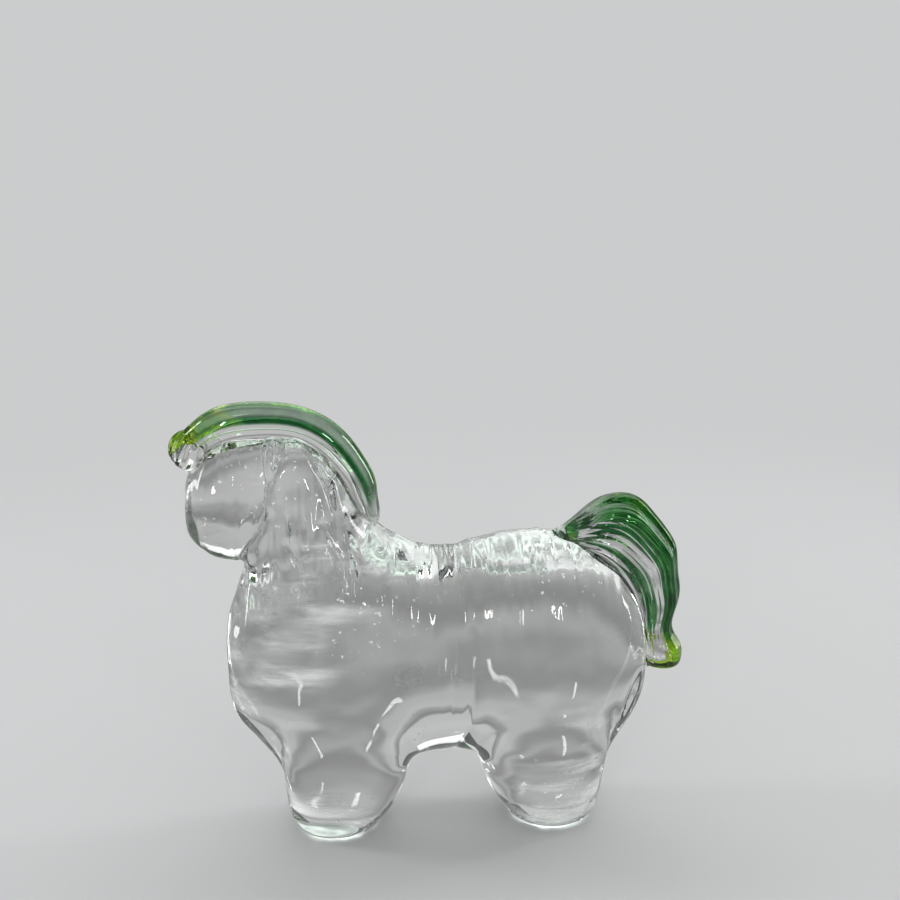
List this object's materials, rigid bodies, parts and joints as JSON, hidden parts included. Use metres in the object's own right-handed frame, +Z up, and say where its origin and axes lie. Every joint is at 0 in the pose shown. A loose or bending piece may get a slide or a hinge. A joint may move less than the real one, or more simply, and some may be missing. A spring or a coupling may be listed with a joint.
{
  "type": "glass horse figurine",
  "caption": "Solid clear glass horse standing on broad leg blocks, with a trailed mane, forelock knob and ribbed tail overlaid in green glass.",
  "frame": {"origin": "on the ground, under the middle of the figurine's length and width", "axes": "+Z up, +X from the head towards the tail, +Y across the body towards the horse's right side"},
  "size_m": [0.1247, 0.0408, 0.1118],
  "materials": {
    "clear_glass": "fire polished clear lead glass",
    "green_glass": "fire polished transparent green glass"
  },
  "bodies": {
    "root": {"clear_body": "clear_glass", "forelock_knob": "clear_glass", "mane_trail": "clear_glass", "mane_green_overlay": "green_glass", "tail_trail": "clear_glass", "tail_green_overlay": "green_glass"}
  },
  "joints": []
}
